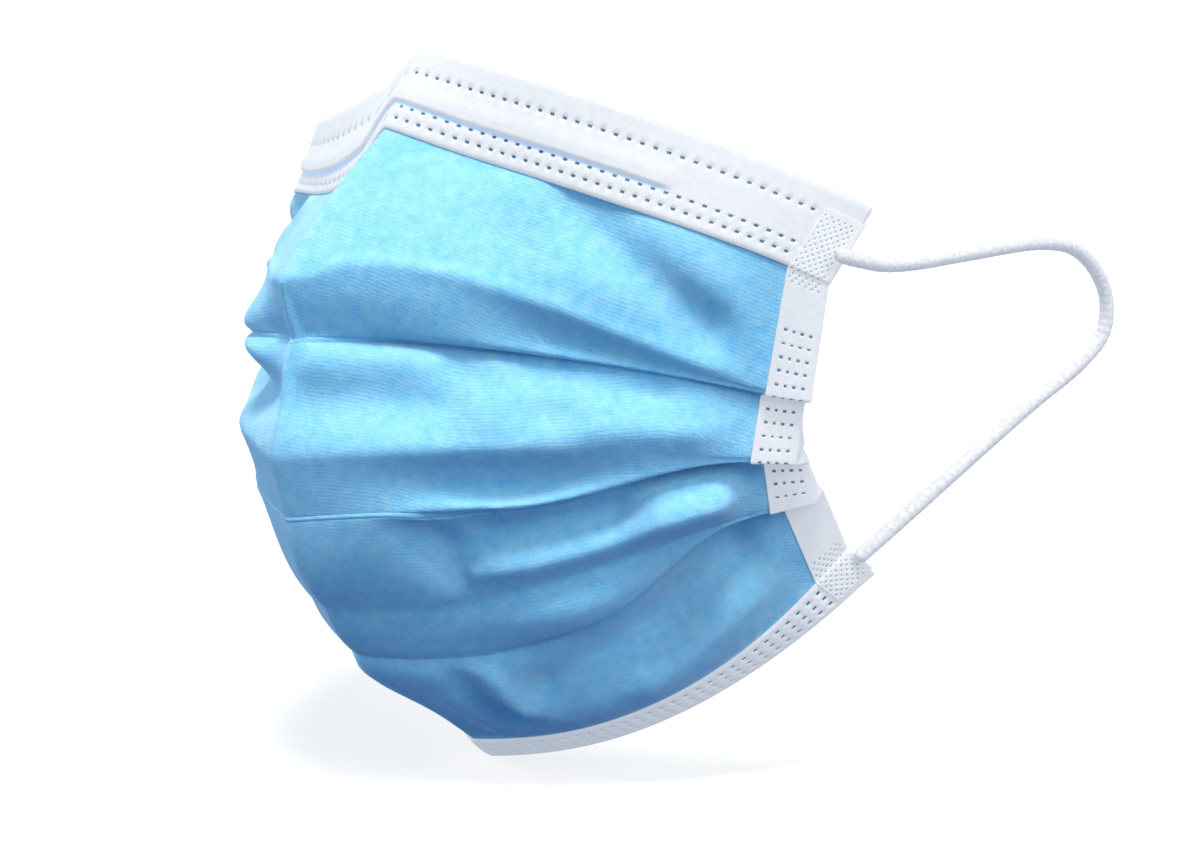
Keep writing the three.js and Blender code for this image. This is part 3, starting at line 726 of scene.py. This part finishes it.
def ear_loop(side, name):
    route = np.array(CORD_ROUTE) * np.array([side, 1, 1])
    path = smooth_route(route, CORD_STEP)
    start, end = unit(path[0] - path[2]), unit(path[-1] - path[-3])
    inward = np.array([-side * 0.98, 0.17, -0.08]) * SEAT_SHIFT
    seat = 1 - rise(np.arange(len(path)) * CORD_STEP, 0.0, SEAT_REACH)
    path = path + inward * seat[:, None]
    tail = path[-1] + end * np.array([0.35, 0.7, 1.05, 1.4])[:, None]
    path = np.vstack([path[0] + start * 0.6, path, tail])
    forward = unit(np.gradient(path, axis=0))
    guide = np.array([1.0, 0.0, 0.0])
    first = unit(guide - scaled(forward, forward @ guide))
    second = np.cross(forward, first)
    travel = np.concatenate([[0], np.cumsum(np.linalg.norm(np.diff(path, axis=0), axis=1))])
    around = CORD_SIDES
    angle = np.arange(around) * 2 * np.pi / around
    turn, twist = KNIT_RIBS * angle[None, :], travel[:, None] * KNIT_TWIST
    ribs = np.cos(turn + twist) * np.cos(turn - twist)
    end_taper = np.minimum(1, 0.72 + np.minimum(travel, travel[-1] - travel) * 0.35)
    radius = (CORD_DIAMETER / 2) * (1.02 + 0.05 * ribs) * end_taper[:, None]
    rings = (path[:, None, :] + first[:, None] * (radius * np.cos(angle))[..., None]
             + second[:, None] * (radius * np.sin(angle))[..., None])
    vertices = rings.reshape(-1, 3) * MM
    faces = []
    for i in range(len(path) - 1):
        for j in range(around):
            k = (j + 1) % around
            faces.append((i * around + j, i * around + k, (i + 1) * around + k, (i + 1) * around + j))
    faces.append(tuple(range(around))[::-1])
    last = (len(path) - 1) * around
    faces.append(tuple(range(last, last + around)))
    mesh = bpy.data.meshes.new(name)
    mesh.from_pydata(vertices.tolist(), [], faces)
    mesh.materials.append(cord_knit)
    mesh.polygons.foreach_set("use_smooth", np.ones(len(faces), bool))
    face_out(mesh)
    piece = bpy.data.objects.new(name, mesh)
    bpy.context.scene.collection.objects.link(piece)
    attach(piece, "root")
    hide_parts(f"ear_loop_{'right' if side > 0 else 'left'}")
    return piece


ear_loop(1, "knitted_loop_right")
ear_loop(-1, "knitted_loop_left")


# The pleated body.

def body_columns(half_count):
    inner = np.linspace(0, 1, half_count + 1)
    end = 2 - BODY_INSET / BINDING_WIDTH
    outer = np.linspace(1, end, 9)[1:]
    right = np.concatenate([inner, outer])
    return np.concatenate([-right[:0:-1], right])


def pleated_body():
    columns = body_columns(104)
    rows, _, _ = cloth(columns)
    grid = rounded(rows, 1)
    steps = np.linalg.norm(grid[2:] - grid[:-2], axis=-1)
    room = np.vstack([steps[:1], steps, steps[-1:]])
    wall = BODY_CLOTH * rounded(np.clip(room / 0.8, 0.12, 1.0), 4)
    piece = wall_mesh("pleated_cloth", grid, wall, (blue_cloth, lining), -1,
                      back_slot=1, uv=cloth_uv(grid))
    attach(piece, "root")
    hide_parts("pleated_body")
    return piece


pleated_body()


# The folded bands, with their rows of weld dots pressed into both faces.

DOT_PITCH = 2.4
DOT_LENGTH = 1.05
DOT_HEIGHT = 0.75
DOT_DEPTH = 0.28
DOT_SLOPE = 0.14
FLOOR_EDGE = 0.13
PUFF = 0.22


def dot_edges(size):
    """The two edges of a dot and of its floor, measured from its middle."""
    return -size / 2, -size / 2 + DOT_SLOPE, size / 2 - DOT_SLOPE, size / 2


def dot_columns(start, end, pitch):
    """Distances from the ridge that mark the two edges and the floor of every dot."""
    marks = []
    middle = start + pitch / 2
    while middle < end:
        marks.extend(middle + offset for offset in dot_edges(DOT_LENGTH))
        middle += pitch
    return np.array(marks)


def dot_rows(width, centres):
    """Levels below the folded edge that mark the edges and floor of every row of dots."""
    marks = [0.0]
    for centre in centres:
        marks.extend(centre + offset for offset in dot_edges(DOT_HEIGHT))
    marks.append(width)
    return np.array(marks)


def between(marks, longest):
    """The marks with even steps added wherever two lie further apart than longest."""
    filled = [marks[0]]
    for mark in marks[1:]:
        count = max(1, math.ceil((mark - filled[-1]) / longest))
        start = filled[-1]
        filled.extend(start + (mark - start) * step / count for step in range(1, count + 1))
    return np.array(filled)


def in_dots(value, centres, half):
    value = np.asarray(value)
    return np.min(np.abs(value[:, None] - np.asarray(centres)[None, :]), axis=1) < half


def band(name, node, edge, width, centres, wire):
    line = LINES[edge]
    inner_end = line.length - BINDING_WIDTH
    side_end = line.length - BAND_INSET
    half = dot_columns(0, side_end - 1.0, DOT_PITCH)
    distances = np.concatenate([-half[::-1], half])
    distances = between(np.concatenate([[-side_end], distances, [side_end]]), 0.8)
    reach = np.abs(distances)
    columns = np.where(reach <= inner_end, reach / inner_end, 1 + (reach - inner_end) / BINDING_WIDTH)
    columns = columns * np.where(distances < 0, -1, 1)
    _, _, bands = cloth(columns, *PLAIN_ROWS)
    edge_points, down, outward = bands[edge]
    levels = between(dot_rows(width, centres), 1.1)
    wire_end = WIRE_DROP + WIRE_WIDTH
    if wire:
        near_wire = np.arange(WIRE_DROP - 1.0, wire_end + 0.9, 0.2)
        levels = np.unique(np.concatenate([levels, near_wire]).round(3))
    offset = BODY_CLOTH / 2 + BAND_GAP + BAND_CLOTH / 2
    dot_middles = np.arange(int(side_end / DOT_PITCH)) * DOT_PITCH + DOT_PITCH / 2
    floor_across = in_dots(reach, dot_middles, DOT_LENGTH / 2 - FLOOR_EDGE)
    floor_down = in_dots(levels, centres, DOT_HEIGHT / 2 - FLOOR_EDGE)
    pressed = floor_down[:, None] & floor_across[None, :]
    grids, reliefs, slots = [], [], []
    for side in (1, -1):
        across = side * offset * np.ones((len(levels), len(distances)))
        flat_end = 1 - rise(reach, side_end - BINDING_WIDTH - 3.0, side_end - BINDING_WIDTH + 1.5)
        pillow = np.abs(np.sin(np.pi * levels / width))[:, None] * PUFF * side * flat_end[None, :]
        across = across + pillow
        if wire and side > 0:
            rib = rise(levels, WIRE_DROP - 2.2, WIRE_DROP + 1.6)
            rib = rib * (1 - rise(levels, wire_end - 0.4, wire_end + 0.4))
            groove = np.exp(-(((levels - wire_end - 0.5) / 0.45) ** 2))
            ends = 1 - rise(reach, WIRE_LENGTH / 2 - 1.5, WIRE_LENGTH / 2 + 1.0)
            across = across + (0.6 * rib - 0.22 * groove)[:, None] * ends[None, :]
        grid = edge_points[None] + down[None] * np.maximum(levels, 0.25)[:, None, None]
        grid = grid + outward[None] * across[..., None]
        faces = pressed[:-1] & pressed[1:]
        faces = faces[:, :-1] & faces[:, 1:]
        grids.append(grid)
        reliefs.append(np.where(pressed, DOT_DEPTH, 0.0))
        slots.append(faces.astype(int))
    grid = np.concatenate([grids[0][::-1], edge_points[None], grids[1]])
    relief = np.concatenate([reliefs[0][::-1], np.zeros((1, len(distances))), reliefs[1]])
    blank = np.zeros((1, len(distances) - 1), int)
    front = np.concatenate([slots[0][::-1], blank, blank, slots[1]])
    rows = np.concatenate([levels[::-1], [0.0], levels])
    across_rows = np.broadcast_to(distances[None, :], grid.shape[:2])
    uv = np.stack([across_rows, np.broadcast_to(rows[:, None], grid.shape[:2])], -1)
    uv = uv * CLOTH_SCALE
    cloth_material = band_cloth_with_painted_shadow if wire else white_cloth
    facing = 1 if wire else -1
    piece = wall_mesh(name, grid, BAND_CLOTH, (cloth_material, weld_floor_painted_shade), facing, front, relief, uv=uv)
    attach(piece, "root")
    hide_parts(node)
    return piece


band("nose_band_cloth", "nose_band", "top", NOSE_BAND_WIDTH, (4.6, 11.1, 13.3), True)
band("chin_band_cloth", "chin_band", "bottom", CHIN_BAND_WIDTH, (1.7, 3.4, 5.1), False)


# The side bindings, folded round the side edge and stepped over every pleat.

BINDING_STEP = 0.165
INNER_COLUMNS = 12
LATTICE_PITCH = 1.35
LATTICE_DEPTH = 0.14


def binding(side, name):
    count_across = int(BINDING_WIDTH / BINDING_STEP)
    columns = side * np.linspace(1, 2 - BINDING_INSET / BINDING_WIDTH, count_across)
    _, panels, bands = cloth(columns, *PLAIN_ROWS)
    body = BODY_CLOTH / 2 + BINDING_GAP + BINDING_CLOTH / 2
    over_band = BODY_CLOTH / 2 + BAND_GAP + BAND_CLOTH + OVER_BAND_GAP + BINDING_CLOTH / 2
    top_edge, top_down, top_out = bands["top"]
    low_edge, low_up, low_out = bands["bottom"]
    middle = len(columns) // 2
    bottoms = [panel[4] for panel in panels]
    tops = [panel[3] for panel in panels]
    ends = [level[middle] for level in bottoms]
    starts = [level[middle] for level in tops]
    total = ends[3] + CHIN_BAND_WIDTH
    count_down = int(total / BINDING_STEP)
    levels = np.linspace(3.4, total - 1.2, count_down)
    legs = []
    for leg in (1, -1):
        room = leg * (BODY_CLOTH / 2 + BINDING_CLOTH)
        steps = [level + room for level in (ends[:3] if leg > 0 else starts[1:])]
        folds = bottoms[:3] if leg > 0 else tops[1:]
        marks = [NOSE_BAND_WIDTH, *steps, ends[3]]
        rows = []
        for level in levels:
            if level < NOSE_BAND_WIDTH:
                point = top_edge + top_down * level + top_out * leg * over_band
            elif level > ends[3]:
                point = low_edge + low_up * (total - level) + low_out * leg * over_band
            else:
                index = sum(level > step for step in steps)
                share = (level - marks[index]) / (marks[index + 1] - marks[index])
                above = folds[index - 1] + room if index > 0 else NOSE_BAND_WIDTH
                below = folds[index] + room if index < 3 else bottoms[3]
                start, down, outward, first, _ = panels[index]
                reach = above + (below - above) * share - first
                point = start + scaled(down, reach) + outward * leg * body
            rows.append(point)
        legs.append(rounded(np.array(rows), 3))
    outer, inner = legs
    inner = inner[:, np.linspace(0, count_across - 1, INNER_COLUMNS).round().astype(int)]
    turn = []
    along = unit(outer[:, -1] - outer[:, -2])
    for angle in np.linspace(0, np.pi, 7)[1:-1]:
        centre = (outer[:, -1] + inner[:, -1]) / 2
        radius = (outer[:, -1] - inner[:, -1]) / 2
        turn.append(centre + radius * math.cos(angle) + along * 0.35 * math.sin(angle))
    grid = np.concatenate([outer, np.stack(turn, 1), inner[:, ::-1]], axis=1)
    across = np.linspace(0, BINDING_WIDTH, count_across)
    pattern, floors = binding_relief(across, levels, ends, total)
    relief = np.zeros(grid.shape[:2])
    relief[:, :count_across] = pattern
    faces = np.zeros((grid.shape[0] - 1, grid.shape[1] - 1), int)
    quads = floors[:-1] & floors[1:]
    faces[:, :count_across - 1] = quads[:, :-1] & quads[:, 1:]
    piece = wall_mesh(name, grid, BINDING_CLOTH, (white_cloth, patch_floor_painted_shade), -side, faces, relief,
                      uv=cloth_uv(grid))
    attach(piece, "root")
    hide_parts(f"side_binding_{'right' if side > 0 else 'left'}")
    return piece


def in_grid(value, pitch, half, start=0.0):
    """Whether a value lies within half of a mark, where marks repeat at a pitch."""
    return np.abs((value - start + pitch / 2) % pitch - pitch / 2) < half


def binding_relief(across, levels, ends, total):
    """Depth of the welds and where their floors are: dot rows, and a lattice at both corners."""
    x, y = np.meshgrid(across, levels)
    dots = in_grid(x, 1.65, 0.42, 1.65) & in_grid(y, 2.25, 0.3, 0.6) & (x > 1.0) & (x < BINDING_WIDTH - 1.0)
    lattice = in_grid(x + y, LATTICE_PITCH, 0.33) & in_grid(x - y, LATTICE_PITCH, 0.33)
    upper = (y > 0.29 * NOSE_BAND_WIDTH) & (y < NOSE_BAND_WIDTH + 2.5) & (x > 0.3) & (x < BINDING_WIDTH - 1.0)
    lower = (y > total - 10.5) & (y < total - 1.6) & (x > 0.3) & (x < BINDING_WIDTH - 0.8)
    plain = (y < NOSE_BAND_WIDTH + 9.5) | (y > ends[2] - 2.0)
    floors = np.where(upper | lower, lattice, dots & ~plain)
    return np.where(floors, LATTICE_DEPTH, 0.0), floors


binding(1, "binding_cloth_right")
binding(-1, "binding_cloth_left")


# The nose wire, inside the folded band.

def nose_wire():
    line = LINES["top"]
    distances = np.linspace(-WIRE_LENGTH / 2, WIRE_LENGTH / 2, 90)
    reach = np.abs(distances)
    columns = reach / (line.length - BINDING_WIDTH) * np.where(distances < 0, -1, 1)
    _, _, bands = cloth(columns, *PLAIN_ROWS)
    edge, down, outward = bands["top"]
    levels = np.linspace(WIRE_DROP, WIRE_DROP + WIRE_WIDTH, 7)
    grid = edge[None] + down[None] * levels[:, None, None]
    grid = grid + outward[None] * (BODY_CLOTH / 2 + WIRE_GAP + WIRE_THICKNESS / 2)
    piece = wall_mesh("wire_in_band", grid, WIRE_THICKNESS, (wire_plastic,), 1)
    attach(piece, "root")
    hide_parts("nose_wire")


nose_wire()


# The floor and the light.

def stage():
    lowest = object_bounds()[0][2] - FLOOR_GAP
    mesh = bpy.data.meshes.new("floor")
    corners = ((-1, -1), (1, -1), (1, 1), (-1, 1))
    mesh.from_pydata([(x * FLOOR_REACH, y * FLOOR_REACH, lowest) for x, y in corners], [], [(0, 1, 2, 3)])
    nodes = Nodes("floor_white")
    place = nodes.add("ShaderNodeTexCoord")
    noise = nodes.add("ShaderNodeTexNoise", {"Vector": place.outputs["Object"], "Scale": 3.0})
    colour = ramp(nodes, noise.outputs["Fac"], ((0.3, (0.38, 0.34, 0.31)), (0.7, (0.39, 0.35, 0.32))))
    shader = nodes.add("ShaderNodeBsdfPrincipled", {
        "Base Color": colour, "Roughness": 0.9,
        "Emission Color": (1.0, 1.0, 1.0, 1.0), "Emission Strength": 0.68})
    nodes.add("ShaderNodeOutputMaterial", {"Surface": shader.outputs["BSDF"]})
    mesh.materials.append(nodes.material)
    floor = bpy.data.objects.new("floor", mesh)
    bpy.context.scene.collection.objects.link(floor)
    floor.visible_diffuse = False
    floor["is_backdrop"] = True


def sun(name, toward, spread, strength, colour):
    """A broad soft light, like a large studio panel far away in the direction given."""
    data = bpy.data.lights.new(name, "SUN")
    data.angle = math.radians(spread)
    data.energy = strength
    data.color = colour
    light = bpy.data.objects.new(name, data)
    light.rotation_euler = Vector(toward).to_track_quat("Z", "Y").to_euler()
    bpy.context.scene.collection.objects.link(light)


def lighting():
    """A blue sky with a pale band at the horizon, a warm key above and a fill from each side."""
    world = bpy.data.worlds.new("studio")
    world.use_nodes = True
    tree = world.node_tree
    background = tree.nodes["Background"]
    place = tree.nodes.new("ShaderNodeTexCoord")
    parts = tree.nodes.new("ShaderNodeSeparateXYZ")
    height = tree.nodes.new("ShaderNodeMapRange")
    height.inputs["From Min"].default_value = -1.0
    height.inputs["From Max"].default_value = 1.0
    blend = tree.nodes.new("ShaderNodeValToRGB")
    bands = ((0.30, (0.02, 0.13, 0.35)), (0.485, (0.09, 0.23, 0.40)), (0.50, (0.80, 0.86, 0.90)),
             (0.56, (0.80, 0.86, 0.90)), (0.62, (0.13, 0.28, 0.41)), (0.85, (0.16, 0.31, 0.43)))
    set_stops(blend, bands)
    tree.links.new(place.outputs["Generated"], parts.inputs["Vector"])
    tree.links.new(parts.outputs["Z"], height.inputs["Value"])
    tree.links.new(height.outputs["Result"], blend.inputs["Fac"])
    tree.links.new(blend.outputs["Color"], background.inputs["Color"])
    background.inputs["Strength"].default_value = 1.0
    bpy.context.scene.world = world
    bpy.context.scene.view_settings.view_transform = "Standard"
    sun("key", (0.30, -0.24, 0.92), 18, 3.3, (1.0, 0.97, 0.94))
    sun("right fill", (0.80, -0.12, 0.55), 40, 1.5, (1.0, 0.99, 0.97))
    sun("left fill", (-0.86, -0.38, 0.34), 40, 1.8, (0.98, 0.99, 1.0))


stage()
lighting()
